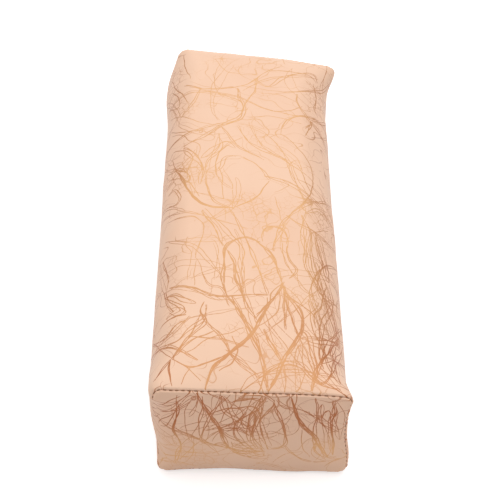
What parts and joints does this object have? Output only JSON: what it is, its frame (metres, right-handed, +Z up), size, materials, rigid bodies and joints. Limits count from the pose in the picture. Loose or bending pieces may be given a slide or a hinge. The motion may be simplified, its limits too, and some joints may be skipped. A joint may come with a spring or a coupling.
{
  "type": "manicure hand rest",
  "caption": "Oblong padded rest that holds up a hand or wrist during a manicure, soft foam in a sewn cover of coated leather cloth.",
  "frame": {"origin": "under the middle of the rest, on the surface that it stands on", "axes": "+Z up, +Y along the length from the front end to the rear end, +X to the right as seen from the front"},
  "size_m": [0.0996, 0.3019, 0.0675],
  "materials": {
    "blush_leather_cloth": "satin coated cloth, blush pink, printed with fine copper and gold foil strands",
    "white_foam": "open-cell upholstery foam, matt off-white",
    "brown_thread": "twisted sewing thread, dark brown"
  },
  "bodies": {
    "root": {"foam_core": "white_foam", "cover_wrap": "blush_leather_cloth", "front_end_panel": "blush_leather_cloth", "rear_end_panel": "blush_leather_cloth", "front_seam_thread": "brown_thread", "rear_seam_thread": "brown_thread", "base_seam_thread": "brown_thread"}
  },
  "joints": []
}
